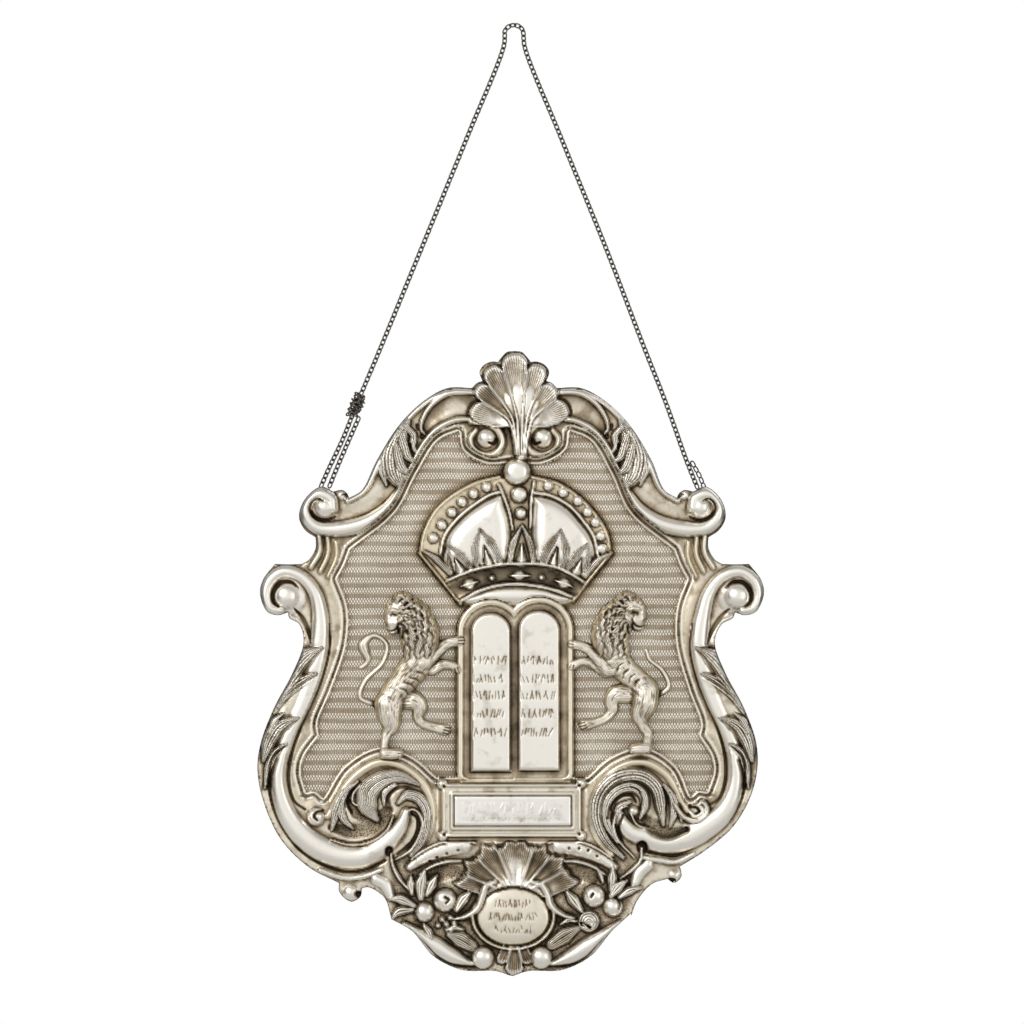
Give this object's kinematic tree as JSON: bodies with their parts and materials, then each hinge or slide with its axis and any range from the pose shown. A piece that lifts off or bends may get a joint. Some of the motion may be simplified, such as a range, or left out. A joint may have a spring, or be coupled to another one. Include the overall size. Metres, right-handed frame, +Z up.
{
  "type": "torah shield",
  "caption": "Chased silver torah shield with crown, tablets, rampant lions, festival plaque and scrolled border, hung on its own chain.",
  "frame": {"origin": "apex of the hanging chain, where it goes over what holds it", "axes": "+Z up, the chased front faces -Y, +X to the right seen from the front"},
  "size_m": [0.2533, 0.0181, 0.4772],
  "materials": {
    "silver": "chased and burnished silver, dark in the recesses",
    "gilt_silver": "cast silver with traces of gilding",
    "pale_silver": "smooth satin silver",
    "dark_silver": "tarnished silver wire"
  },
  "bodies": {
    "root": {"shield_plate": "silver", "lion_left": "gilt_silver", "lion_right": "gilt_silver", "festival_plaque": "pale_silver", "chain_eye_left": "dark_silver", "chain_eye_right": "dark_silver", "chain_main": "dark_silver", "chain_return_left": "dark_silver", "chain_return_right": "dark_silver", "chain_knot": "dark_silver"}
  },
  "joints": []
}
